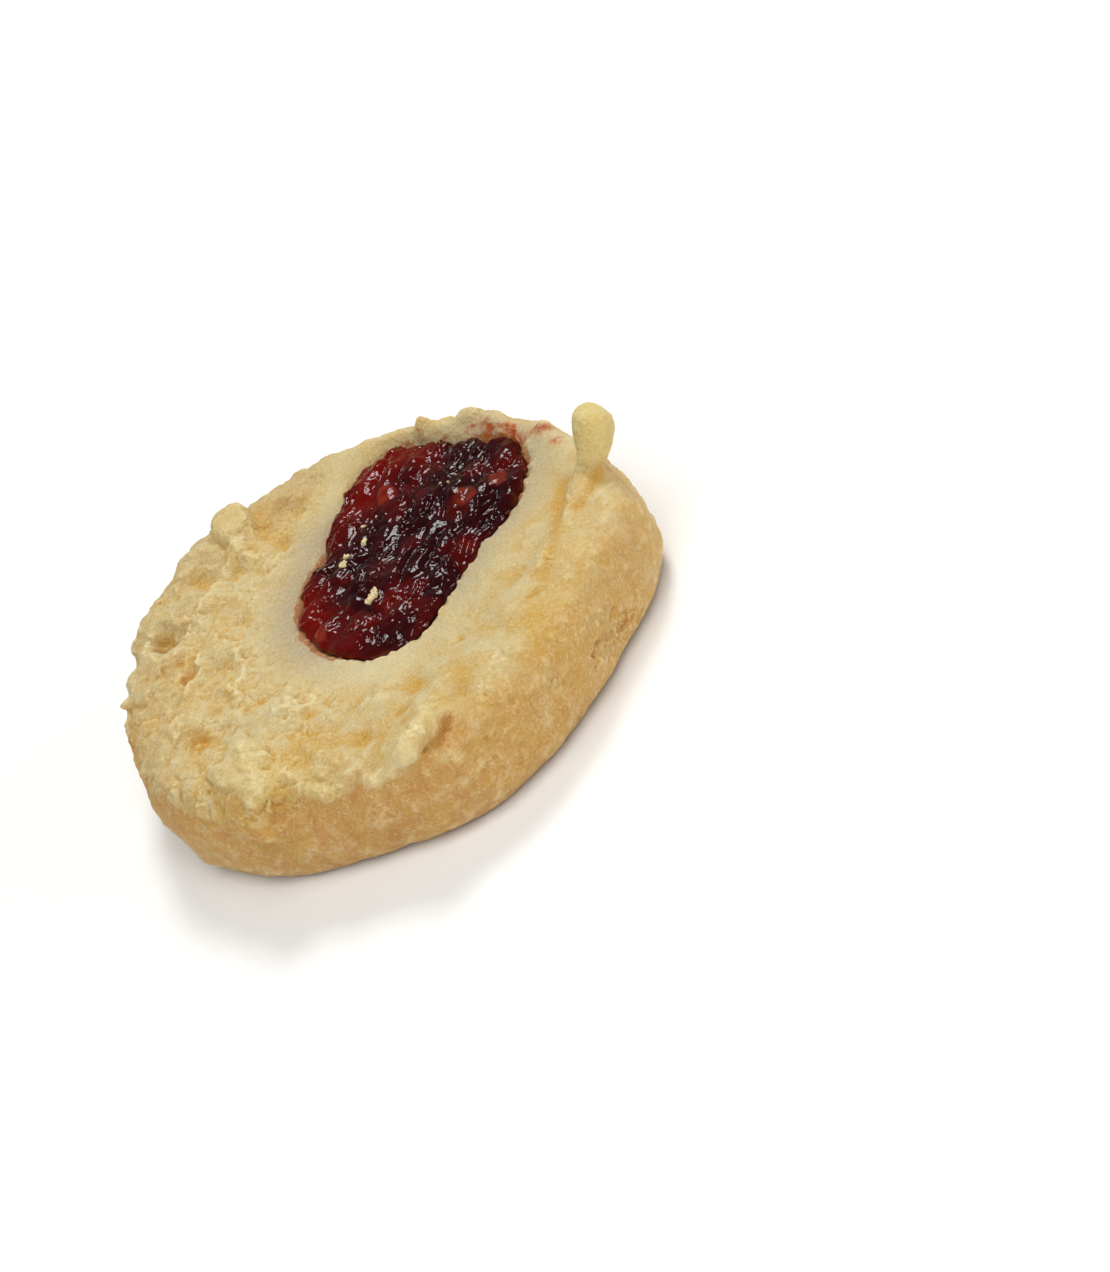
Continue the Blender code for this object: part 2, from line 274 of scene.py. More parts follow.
def bakedButterDough():
    # baked butter dough: a dry, short crumb, matt, a little translucent, with a fine grain
    look = doughLook
    material, tree, shader, place = newMaterial("bakedButterDough", {
        "Roughness": look["roughness"], "IOR": look["ior"], "Specular IOR Level": 0.35, "Metallic": 0.0,
        "Subsurface Weight": look["scatter"], "Subsurface Radius": (1.0, 0.75, 0.45),
        "Subsurface Scale": look["scatterDepth"] * mm,
    })
    masks = {name: addNode(tree, "Attribute", {"attribute_name": name}).outputs["Fac"]
             for name in ("bakeAndShade", "wall", "greyAndShade", "unrest", "foldBrownAndShade", "crest", "stainAndShade", "under",
                          "yolk", "shade", "soak")}
    mottle = addNode(tree, "TexNoise", None, {
        "Vector": place, "Scale": perSize(look["mottleSize"]), "Detail": 4.0, "Roughness": 0.6})
    patch = addNode(tree, "TexNoise", None, {
        "Vector": place, "Scale": perSize(look["patchSize"]), "Detail": 2.0})
    grain = addNode(tree, "TexNoise", None, {
        "Vector": place, "Scale": perSize(look["grainSize"]), "Detail": 3.0, "Roughness": 0.65})
    blotch = addNode(tree, "TexNoise", None, {
        "Vector": place, "Scale": perSize(look["blotchSize"]), "Detail": 3.0, "Roughness": 0.6,
        "Distortion": 0.5})
    ragged = addNode(tree, "VectorMath", {"operation": "MULTIPLY_ADD"}, {
        0: grain.outputs["Color"], 1: (look["speckShake"] * mm,) * 3, 2: place})
    speck = addNode(tree, "TexVoronoi", None, {
        "Vector": ragged.outputs[0], "Scale": perSize(look["speckSize"])})
    # each speck's own random colour chooses whether it shows
    chance = addNode(tree, "SeparateColor", None, {"Color": speck.outputs["Color"]})
    chosen = addNode(tree, "MapRange", None, {
        "Value": chance.outputs[0], "From Min": 1.0 - look["speckShare"], "From Max": 1.0,
        "To Min": 0.0, "To Max": 0.9})
    outer, inner = look["speckReach"]
    core = addNode(tree, "MapRange", None, {
        "Value": speck.outputs["Distance"], "From Min": outer, "From Max": inner,
        "To Min": 0.0, "To Max": 0.7})
    specks = addNode(tree, "Math", {"operation": "MULTIPLY"}, {
        0: core.outputs["Result"], 1: chosen.outputs["Result"]})
    # browning, with the painted warm shade it carries, breaks up in the mottle and drifts from patch to
    # patch
    browningAndShade = masks["bakeAndShade"]
    for texture, most in ((mottle, look["mottleBrowning"]), (patch, look["patchBrowning"])):
        uneven = addNode(tree, "MapRange", None, {
            "Value": texture.outputs["Fac"], "From Min": 0.3, "From Max": 0.7,
            "To Min": -most, "To Max": most})
        browningAndShade = addNode(tree, "Math", {"operation": "ADD", "use_clamp": texture == patch}, {
            0: browningAndShade, 1: uneven.outputs["Result"]}).outputs[0]
    # jam soaks in along a ragged line
    wet = addNode(tree, "Math", {"operation": "MULTIPLY_ADD"}, {
        0: mottle.outputs["Fac"], 1: 1.2, 2: masks["soak"]})
    soaked = addNode(tree, "MapRange", {"interpolation_type": "SMOOTHSTEP"}, {
        "Value": wet.outputs[0], "From Min": 1.2, "From Max": 1.4, "To Min": 0.0, "To Max": 0.8})
    # from the first laid down to the last
    colour = layered(tree, look, "pale", [
        ("butter", browningAndShade),
        ("butter", patchesOf(tree, blotch, 0.48, 0.66, look["blotchMost"], masks["unrest"])),
        ("yolk", masks["yolk"]),
        ("shade", masks["shade"]),
        ("tan", masks["wall"]),
        ("cream", patchesOf(tree, mottle, 0.51, 0.62, 0.55, masks["wall"])),
        ("golden", patchesOf(tree, blotch, 0.5, 0.62, 0.5, masks["wall"])),
        ("rust", patchesOf(tree, blotch, 0.48, 0.34, 0.6, masks["wall"])),
        ("golden", patchesOf(tree, patch, 0.5, 0.62, 0.35, masks["wall"])),
        ("greyAndShade", masks["greyAndShade"]),
        ("brown", masks["under"]),
        ("golden", masks["foldBrownAndShade"]),
        ("chalk", masks["crest"]),
        ("chalk", specks.outputs[0]),
        ("stainAndShade", masks["stainAndShade"]),
        ("soaked", soaked.outputs["Result"]),
        ("chalk", patchesOf(tree, grain, 0.5, 0.62, 0.5, mottle.outputs["Fac"])),
        ("golden", patchesOf(tree, grain, 0.5, 0.38, 0.5, patch.outputs["Fac"])),
    ])
    tree.links.new(colour, shader.inputs["Base Color"])
    rough = addNode(tree, "Bump", None, {
        "Strength": 0.8, "Distance": look["mottleDepth"] * mm, "Height": mottle.outputs["Fac"]})
    fine = addNode(tree, "Bump", None, {
        "Strength": 1.0, "Distance": look["grainDepth"] * mm, "Height": grain.outputs["Fac"],
        "Normal": rough.outputs["Normal"]})
    tree.links.new(fine.outputs["Normal"], shader.inputs["Normal"])
    return material


jamLook = {
    "deep": "#210509",               # thick jam
    "thinAndShade": "#670B05",               # thin at the edge and on its lumps, held back in the skin's hollows as painted shade
    "seed": "#8E3320",               # seeds seen through the skin
    "fringe": "#8A4526",             # hardly any jam left, over the dough
    "wrinkleSize": 0.8,
    "wrinkleDepth": 0.12,            # relief that only the light shows
    "filmSize": 0.3,
    "filmDepth": 0.03,
    "roughness": 0.08,
    "ior": 1.36,                     # a little above water's, for its sugar
    "scatter": 0.3,                  # share of the light that goes through the jam, and how deep
    "scatterDepth": 1.2,
}


def setBerryJam():
    # set berry jam: a sticky gel with a wet, wrinkled skin that gives small sharp highlights
    look = jamLook
    material, tree, shader, place = newMaterial("setBerryJam", {
        "Roughness": look["roughness"], "IOR": look["ior"], "Specular IOR Level": 0.35, "Metallic": 0.0,
        "Subsurface Weight": look["scatter"], "Subsurface Radius": (1.0, 0.12, 0.08),
        "Subsurface Scale": look["scatterDepth"] * mm,
    })
    wrinkle = addNode(tree, "TexNoise", None, {
        "Vector": place, "Scale": perSize(look["wrinkleSize"]), "Detail": 3.0, "Distortion": 0.6})
    film = addNode(tree, "TexNoise", None, {
        "Vector": place, "Scale": perSize(look["filmSize"]), "Detail": 2.0})
    colour = layered(tree, look, "deep", [
        (name, addNode(tree, "Attribute", {"attribute_name": name}).outputs["Fac"])
        for name in ("thinAndShade", "seed", "fringe")])
    tree.links.new(colour, shader.inputs["Base Color"])
    folds = addNode(tree, "Bump", None, {
        "Strength": 0.5, "Distance": look["wrinkleDepth"] * mm, "Height": wrinkle.outputs["Fac"]})
    skin = addNode(tree, "Bump", None, {
        "Strength": 0.2, "Distance": look["filmDepth"] * mm, "Height": film.outputs["Fac"],
        "Normal": folds.outputs["Normal"]})
    tree.links.new(skin.outputs["Normal"], shader.inputs["Normal"])
    return material


crumbLook = {
    "pale": "#E6D8AE",
    "baked": "#D3BB86",
    "grainSize": 0.3,
    "grainDepth": 0.06,
}


def dryCrumb():
    # loose crumbs of the same dough, pale, dry and matt
    look = crumbLook
    material, tree, shader, place = newMaterial("dryCrumb", {
        "Roughness": 0.8, "IOR": 1.45, "Specular IOR Level": 0.3})
    grain = addNode(tree, "TexNoise", None, {
        "Vector": place, "Scale": perSize(look["grainSize"]), "Detail": 3.0})
    colour = layered(tree, look, "pale", [("baked", grain.outputs["Fac"])])
    tree.links.new(colour, shader.inputs["Base Color"])
    bump = addNode(tree, "Bump", None, {
        "Strength": 0.6, "Distance": look["grainDepth"] * mm, "Height": grain.outputs["Fac"]})
    tree.links.new(bump.outputs["Normal"], shader.inputs["Normal"])
    return material


def whiteBoard():
    # painted studio board, white and matt
    material, _, shader, _ = newMaterial("whiteBoard", {"Roughness": 0.9, "Specular IOR Level": 0.1})
    shader.inputs["Base Color"].default_value = linear("#F7F7F5")
    return material


# Studio

studio = {
    "lens": 103.3,
    "distance": 334.2,               # from the camera to the point it looks at
    "aim": Vector((13.6, -15.1, 6.0)),
    "elevation": 35.4,               # camera above the table, degrees
    "roll": 32.8,                    # the cookie's axis leans this far to the left in the picture
    "world": 0.14,
    # directions seen from the camera, distance, side and power of each soft box
    "key": {"lift": 0.90, "front": 0.05, "aside": -0.25, "distance": 700, "size": 210, "power": 2.4},
    "fill": {"lift": 0.25, "front": 0.80, "aside": -0.25, "distance": 800, "size": 800, "power": 5.7},
    "side": {"lift": 0.30, "front": 0.30, "aside": 0.80, "distance": 800, "size": 800, "power": 2.9},
}


def cameraAxes():
    elevation = math.radians(studio["elevation"])
    roll = math.radians(studio["roll"])
    flatRight = Vector((1.0, 0.0, 0.0))
    flatUp = Vector((0.0, math.sin(elevation), math.cos(elevation)))
    back = Vector((0.0, -math.cos(elevation), math.sin(elevation)))
    right = flatRight * math.cos(roll) - flatUp * math.sin(roll)
    up = flatRight * math.sin(roll) + flatUp * math.cos(roll)
    return right, up, back


def addCamera():
    right, up, back = cameraAxes()
    lens = bpy.data.cameras.new("camera")
    lens.lens = studio["lens"]
    lens.clip_start = 0.01
    camera = bpy.data.objects.new("camera", lens)
    bpy.context.scene.collection.objects.link(camera)
    place = (studio["aim"] + back * studio["distance"]) * mm
    camera.matrix_world = Matrix.Translation(place) @ Matrix((right, up, back)).transposed().to_4x4()
    bpy.context.scene.camera = camera


def addLight(name, lamp, glossy):
    # a square soft box, placed by directions seen from the camera
    right, up, back = cameraAxes()
    toward = (up * lamp["lift"] + back * lamp["front"] + right * lamp["aside"]).normalized()
    data = bpy.data.lights.new(name, "AREA")
    data.size = lamp["size"] * mm
    data.energy = lamp["power"]
    light = bpy.data.objects.new(name, data)
    bpy.context.scene.collection.objects.link(light)
    light.location = toward * lamp["distance"] * mm
    light.rotation_euler = toward.to_track_quat("Z", "Y").to_euler()
    light.visible_glossy = glossy


def addStudio():
    addCamera()
    addLight("key", studio["key"], True)
    addLight("fill", studio["fill"], False)
    addLight("side", studio["side"], False)
    world = bpy.data.worlds.new("studio")
    world.use_nodes = True
    world.node_tree.nodes["Background"].inputs["Color"].default_value = (1.0, 1.0, 1.0, 1.0)
    world.node_tree.nodes["Background"].inputs["Strength"].default_value = studio["world"]
    bpy.context.scene.world = world
    bpy.context.scene.view_settings.view_transform = "Standard"
    shape = bmesh.new()
    bmesh.ops.create_grid(shape, x_segments=1, y_segments=1, size=2.0)
    mesh = bpy.data.meshes.new("floor")
    shape.to_mesh(mesh)
    shape.free()
    mesh.materials.append(whiteBoard())
    floor = bpy.data.objects.new("floor", mesh)
    bpy.context.scene.collection.objects.link(floor)
    print("studio: camera, three soft boxes, floor")


# Dough

dough = {
    "voxel": 0.39,
    "calmBand": (1.0, 6.0),          # the dough is smooth this near the jam
    "shoulder": (8.2, 10.2),         # heights where the wall turns into the top
    "smoothSide": (0.77, -0.64),     # this side of the top is smoother than the rest
    "crumb": (3.4, 0.6),             # size and height of the soft lumps and hollows, as in the next five
    "clump": (2.6, 0.45),            # clumps it breaks in
    "crumble": (0.9, 0.22),          # bits of a clump
    "granule": (0.45, 0.14),         # grains of a bit
    "grit": (0.6, 0.05),             # everywhere
    "wallLump": (2.4, 0.3),
    "layer": 0.22,                   # how far the pale layer on top stands out over the browned wall
    # sizes and heights of the ragged lip round the jam, and sizes and depths of the tray's dents in the base
    "lip": ((1.0, 0.5), (0.5, 0.25)),
    "dents": ((2.4, 0.35), (0.9, 0.08)),
    "pits": 30,
    "pitWidth": (0.4, 0.8),          # least and most
    "pitDepth": (0.2, 0.4),          # the same, as a share of the width
    "tail": (27.0, -2.0, 14.6),      # middles of the smooth pulled tail and of the smaller pulled peak
    "peak": (-7.6, 22.6, 12.4),
    "knobs": (11.9, 12.8),           # heights where what stands up takes a colour of its own
}

# Ridges of torn dough: line, half width and height
ridges = [
    ([(-7.7, 20.0, 12.8), (-7.9, 18.7, 12.1), (-7.8, 17.1, 11.5), (-7.0, 16.2, 11.1),
      (-5.9, 14.6, 10.9)], 0.9, 0.5),
    ([(-9.2, 17.4, 11.2), (-10.9, 16.5, 11.4), (-12.3, 13.7, 11.5), (-14.3, 12.2, 11.7),
      (-15.5, 12.6, 11.5), (-16.9, 11.8, 10.9)], 0.9, 0.5),
    ([(-19.5, 14.3, 11.1), (-20.5, 12.5, 10.9), (-19.8, 8.9, 12.0), (-18.3, 7.9, 11.7),
      (-16.9, 10.5, 11.0)], 0.7, 0.5),
    ([(-15.9, 6.1, 11.4), (-16.2, 4.3, 11.0), (-17.4, 2.9, 10.9), (-18.6, 1.4, 11.5)], 0.6, 0.7),
    ([(-14.5, 5.1, 11.4), (-13.0, 5.2, 11.3), (-12.6, 2.0, 11.4), (-12.8, -0.5, 11.4),
      (-14.4, -1.6, 11.6), (-14.3, -4.1, 11.4), (-15.4, -6.0, 11.3)], 0.65, 0.55),
    ([(-11.6, -9.3, 11.9), (-9.6, -10.2, 11.4), (-8.1, -9.5, 11.1)], 0.7, 0.5),
    ([(-20.9, 0.5, 11.7), (-20.4, -2.2, 11.8), (-21.3, -4.2, 11.6)], 0.7, 0.5),
]

# Ridges near the front, which are smoother and yellower
yellowRidges = [
    ([(-16.0, -12.0, 12.2), (-15.6, -15.2, 12.1), (-15.9, -17.9, 12.3), (-17.3, -19.4, 11.3)], 0.9, 0.5),
    ([(-14.1, -17.2, 11.6), (-12.8, -20.0, 11.1), (-12.5, -21.1, 10.4), (-10.5, -22.4, 9.8)], 0.7, 0.45),
    ([(-6.9, -24.0, 9.8), (-4.8, -24.6, 10.3), (-2.6, -25.5, 11.7), (-1.0, -24.2, 12.0),
      (0.0, -23.6, 12.4)], 0.9, 0.6),
]

# Crevices: one under the lump at the near edge, one behind a ridge on the left, two on the near wall
lumpCrevice = [(1.4, -23.8, 10.6), (-0.2, -25.1, 10.3), (-1.4, -25.5, 10.3)]
ridgeCrevice = [(-16.6, 6.9, 11.4), (-17.5, 5.1, 11.1), (-18.3, 3.9, 11.1)]
upperCrevice = [(3.7, -25.7, 8.2), (3.4, -26.0, 7.0)]
lowerCrevice = [(3.1, -26.2, 6.3), (3.4, -26.2, 4.8)]

# Crack low on the right wall: line, half width, depth, and how far round it the wall is broken
wallCrack = [(15.9, -20.0, 5.1), (17.1, -18.7, 5.3), (18.2, -17.6, 4.2), (19.3, -16.4, 3.7),
             (20.4, -15.4, 3.0)]
crackShape = {"halfWidth": 0.35, "depth": 0.5, "broken": 2.2, "brokenHeight": 0.4}

# Hollows and grooves: line, half width and depth
hollows = [
    ([(-17.8, 12.9, 10.8), (-19.0, 13.0, 10.5), (-19.5, 11.0, 10.5)], 0.6, 0.4),
    (ridgeCrevice, 0.5, 0.8), (lumpCrevice, 0.42, 0.8), (upperCrevice, 0.3, 0.35), (lowerCrevice, 0.3, 0.4),
    ([(-19.3, -5.4, 10.9), (-20.0, -6.5, 11.2)], 0.9, 0.6),
    ([(21.7, -2.4, 11.0), (19.7, -6.8, 11.4), (17.3, -12.1, 12.4), (15.6, -13.4, 12.0)], 1.0, 0.3),
    ([(14.5, -15.2, 11.5), (13.3, -15.7, 11.7)], 0.6, 0.3),
    ([(-4.4, 22.0, 11.6), (-4.9, 18.6, 11.1), (-3.9, 15.8, 10.8)], 0.9, 0.5),
    ([(26.0, -5.2, 11.9), (24.0, -6.2, 11.9), (21.8, -7.6, 11.9)], 0.7, 0.35),
    ([(-9.1, -11.7, 11.2)], 0.8, 0.45), ([(-6.0, -19.3, 11.2)], 0.9, 0.45),
    ([(-11.6, -13.5, 11.3)], 0.6, 0.4), ([(-1.6, -19.5, 11.5)], 0.7, 0.35),
    ([(-12.5, -5.3, 11.1)], 0.8, 0.3), ([(-12.9, 17.3, 11.6)], 1.1, 0.5), ([(0.3, -17.4, 11.0)], 0.7, 0.25),
]

# Where pieces of dough run softly into each other: middle and reach
softSpots = [((0.6, -22.6, 12.4), 4.5), ((-8.0, 17.6, 11.0), 4.2)]

# Pale crumbly patches on crests: middle and reach
chalkSpots = [
    ((26.2, -2.2, 16.3), 1.4), ((25.9, 0.2, 16.6), 1.0), ((-5.5, 21.3, 12.7), 0.8),
    ((-7.4, 19.2, 12.3), 1.1), ((-13.2, -0.1, 11.4), 1.6), ((-14.8, -4.7, 11.3), 1.6),
    ((-15.7, -13.2, 12.4), 1.3), ((-14.5, -14.2, 12.2), 1.0), ((-15.9, -17.2, 12.5), 1.2),
    ((-8.4, -9.5, 11.2), 1.5), ((-10.2, -9.4, 11.6), 1.4), ((-12.0, 8.5, 11.0), 1.0),
    ((-16.6, 5.4, 11.2), 1.0), ((-1.2, -24.1, 12.2), 1.2), ((0.8, -21.6, 12.4), 1.2),
    ((16.3, -12.1, 12.3), 1.3), ((24.9, -11.2, 6.9), 0.9), ((8.4, -20.5, 11.6), 1.3),
    ((18.0, -17.7, 6.9), 1.0), ((19.3, -16.4, 5.6), 0.9), ((11.4, -22.9, 7.0), 0.9),
    ((5.6, -23.2, 11.0), 1.1), ((-5.3, 14.1, 10.9), 1.4), ((21.4, -5.7, 11.9), 0.9),
]

# Where jam has soaked into the far rim, and painted warm shade along the crevices and the crack: line, half
# width and share
stainAndShadeLines = [
    ([(18.6, 13.3), (20.2, 12.3), (21.1, 10.2)], 0.4, 1.2), ([(20.0, 11.3), (21.4, 8.0)], 0.35, 1.1),
    ([(22.2, 8.1), (23.6, 6.7)], 0.35, 1.1), ([(17.4, 14.6), (19.2, 14.2)], 0.4, 1.2),
    ([(23.4, 5.2), (23.9, 3.6)], 0.35, 1.0), ([(20.9, 9.0), (19.8, 9.6)], 0.4, 1.0),
    (lumpCrevice, 0.55, 0.8), (ridgeCrevice, 0.45, 0.4), (upperCrevice, 0.3, 0.5), (lowerCrevice, 0.3, 0.6),
    (wallCrack, 0.35, 0.6),
]


def outlineGap(points, node):
    # distance in plan to the node's outline, less than 0 inside it
    rim = readPoints(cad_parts[node].data)
    rim = rim[rim[:, 2] > 9.4]
    heading = np.arctan2(rim[:, 1] - jamMiddle[1], rim[:, 0] - jamMiddle[0])
    reach = np.hypot(rim[:, 0] - jamMiddle[0], rim[:, 1] - jamMiddle[1])
    steps = np.linspace(-math.pi, math.pi, 181)
    outer = np.array([reach[np.abs((heading - step + math.pi) % (2 * math.pi) - math.pi) < 0.06].max()
                      for step in steps])
    offset = points[:, :2] - jamMiddle
    own = np.interp(np.arctan2(offset[:, 1], offset[:, 0]), steps, outer)
    return np.hypot(offset[:, 0], offset[:, 1]) - own


def topLayer(points):
    # 1 on the pale layer on top, 0 on the browned wall: a ragged edge on the left, a soft one on the right
    right = smoothStep(-4.0, 18.0, points[:, 0] - 0.5 * points[:, 1])
    inner = smoothStep(25.0, 21.0, fromAxis(points)) * smoothStep(7.0, 8.5, points[:, 2])
    level = points[:, 2] + 3.0 * inner + 2.2 * field(points, 3.4, 51.0) + 0.9 * field(points, 1.2, 53.0)
    ragged = smoothStep(9.2, 10.4, level)
    soft = smoothStep(7.4, 12.0, level)
    return ragged + (soft - ragged) * right


def drifted(points):
    return points + 0.8 * shaken(points, 3.0, (5.0, 9.0, 13.0))


def softLumps(points):
    # lumps and hollows of short dough: coarse, middling and fine
    size = dough["crumb"][0]
    coarse = field(drifted(points), size)
    return coarse + 0.55 * field(points, size / 2.1, 27.0) + 0.25 * field(points, size / 4.3, 29.0)


def unrest(points, gap):
    # 0 beside the jam, 1 where the top is crumbly; the far rim is crumbly though it is narrow
    lively = smoothStep(*dough["calmBand"], gap)
    edge = smoothStep(22.5, 25.5, fromAxis(points))
    return np.maximum(lively, 0.8 * edge)


def pulledEnds(points):
    # 1 on the smooth pulled tail, 0.6 on the smaller pulled peak
    tail = smoothStep(4.2, 3.4, awayFrom(points, dough["tail"])) * smoothStep(11.6, 12.6, points[:, 2])
    return np.maximum(tail, 0.6 * smoothStep(4.0, 2.6, awayFrom(points, dough["peak"])))


def nearSpots(points):
    # 1 at the middle of each pale crumbly patch
    near = np.zeros(len(points))
    for spot, reach in chalkSpots:
        near = np.maximum(near, smoothStep(1.4, 0.4, awayFrom(points, spot) / reach))
    return near


def creases(points):
    # 1 on the lines of the ridges, and 1 on those of the hollows
    ridge = np.zeros(len(points))
    hollow = np.zeros(len(points))
    for line, halfWidth, _ in ridges + yellowRidges:
        ridge = np.maximum(ridge, lineBump(points, line, halfWidth))
    for line, halfWidth, _ in hollows:
        hollow = np.maximum(hollow, lineBump(points, line, halfWidth))
    return ridge, hollow


def doughShift(points, normals, gap):
    # how far the skin moves out at each point
    x, y, z = points.T
    lively = unrest(points, gap)
    upper = smoothStep(*dough["shoulder"], z)
    rough = 1.0 - 0.75 * smoothStep(0.0, 17.0, points[:, :2] @ np.array(dough["smoothSide"]))
    warp = drifted(points) - points
    bits = points + 0.5 * warp + 0.35 * shaken(points, 0.8, (61.0, 65.0, 69.0))
    patchy = 0.35 + 0.65 * smoothStep(-0.2, 0.2, field(points, 2.8, 21.0))
    onRidge, _ = creases(points)
    dry = np.maximum(nearSpots(points), 0.7 * onRidge * smoothStep(-0.15, 0.15, field(points, 1.5, 25.0)))
    # soft lumps, grit everywhere, and clumps that break into bits and grains
    crumb = dough["crumb"][1] * softLumps(points)
    size, height = dough["grit"]
    grit = height * field(points, size, 3.0) * (0.25 + 0.75 * lively * (0.4 + 0.6 * rough))
    size, height = dough["clump"]
    broken = height * clumpRelief(bits, size, upper * lively * rough * patchy)
    size, height = dough["crumble"]
    broken += height * clumpRelief(bits, size, lively * (0.35 + 0.65 * np.maximum(dry, 0.35 - 0.35 * upper)))
    size, height = dough["granule"]
    broken += height * clumpRelief(points, size, lively * (0.25 + 0.75 * dry))
    shift = upper * lively * rough * crumb + grit + broken
    size, height = dough["wallLump"]
    wall = height * field(points, size, 17.0) + 0.4 * height * field(points, size / 2.2, 19.0)
    shift += (1.0 - upper) * wall + dough["layer"] * (topLayer(points) - 1.0) * lively
    # ridges, hollows and the crack, which is uneven and has broken wall under it
    for line, halfWidth, height in ridges + yellowRidges:
        shift += height * lineBump(bits - 0.3 * warp, line, halfWidth)
    for line, halfWidth, depth in hollows:
        shift -= depth * lineBump(bits - 0.3 * warp, line, halfWidth)
    depth = crackShape["depth"] + 0.6 * field(points, 1.4, 73.0)
    shift -= lineBump(bits - 0.5 * warp, wallCrack, crackShape["halfWidth"]) * depth
    below = lineBump(points, wallCrack, crackShape["broken"]) * smoothStep(5.2, 4.2, z)
    shift += crackShape["brokenHeight"] * clumpRelief(bits, 1.0, below)
    # the lip round the jam is ragged on its near side
    lip = smoothStep(-0.3, 0.3, gap) * smoothStep(2.0, 0.8, gap) * upper
    lip *= smoothStep(9.0, 3.0, y - 0.3 * x)
    (size, height), (fineSize, fineHeight) = dough["lip"]
    torn = height * field(points, size, 91.0) + fineHeight * field(points, fineSize, 93.0)
    shift += lip * np.maximum(torn, -0.04)
    # nothing moves under the jam, and the foot and the pulled ends move less
    inHollow = smoothStep(0.1, -0.6, gap) * upper
    foot = 0.6 + 0.4 * smoothStep(0.0, 1.6, z)
    shift *= foot * (1.0 - inHollow) * (1.0 - 0.8 * pulledEnds(points))
    # the base lies flat on the table, with shallow dents from the tray
    under = smoothStep(-0.4, -0.9, normals[:, 2]) * smoothStep(2.0, 0.6, z)
    (size, depth), (fineSize, fineDepth) = dough["dents"]
    dents = np.clip(field(points, size, 41.0) - 0.05, 0.0, 1.0) * depth
    dents += fineDepth * np.abs(field(points, fineSize, 43.0))
    return shift * (1.0 - under) - under * dents


def pressPits(points, normals, gap):
    # small round pits, pressed in along the surface's own normal
    chooser = random.Random(4)
    tree = KDTree(len(points))
    for index, point in enumerate(points):
        tree.insert(point, index)
    tree.balance()
    rough = points[:, :2] @ np.array(dough["smoothSide"]) < 4.0
    free = np.flatnonzero((gap > 4.0) & (points[:, 2] > 1.2) & (points[:, 2] < 11.8) & rough)
    places = [free[chooser.randrange(len(free))] for _ in range(dough["pits"])]
    widths = [chooser.uniform(*dough["pitWidth"]) for _ in places]
    depths = [width * chooser.uniform(*dough["pitDepth"]) for width in widths]
    for place, width, depth in zip(places, widths, depths):
        for _, index, far in tree.find_range(Vector(points[place]), width):
            points[index] -= normals[place] * depth * (1.0 - (far / width) ** 2) ** 2


def makeDough():
    mesh = remeshed(nodeCopy("biscuit"), dough["voxel"])
    mesh.name = "cookieDough"
    points = relaxed(readPoints(mesh), readEdges(mesh), 4)
    writePoints(mesh, points)
    # finer faces where the dough is crumbly, round the jam, on what stands up and along the crack
    gap = outlineGap(points, "jam")
    crumbly = (points[:, 2] > 7.5) & (gap > 2.5) & (points[:, :2] @ np.array(dough["smoothSide"]) < 7.0)
    crumbly |= (np.abs(gap - 0.5) < 1.0) & (points[:, 2] > 8.5)
    crumbly |= (nearSpots(points) > 0.1) | (points[:, 2] > 12.2) | (lineBump(points, wallCrack, 1.2) > 0.3)
    refine(mesh, crumbly)
    edges = readEdges(mesh)
    points = relaxed(readPoints(mesh), edges, 3)
    softened = relaxed(points, edges, 110)
    for middle, reach in softSpots:
        share = smoothStep(1.0, 0.4, awayFrom(points, middle) / reach)
        points += share[:, None] * (softened - points)
    writePoints(mesh, points)
    normals = readNormals(mesh)
    gap = outlineGap(points, "jam")
    points = points + normals * doughShift(points, normals, gap)[:, None]
    pressPits(points, normals, gap)
    points[:, 2] = np.maximum(points[:, 2], 0.0)
    writePoints(mesh, points)
    paintDough(mesh, points, readNormals(mesh), edges, gap)
    print("dough:", len(mesh.polygons), "faces")
    return mesh


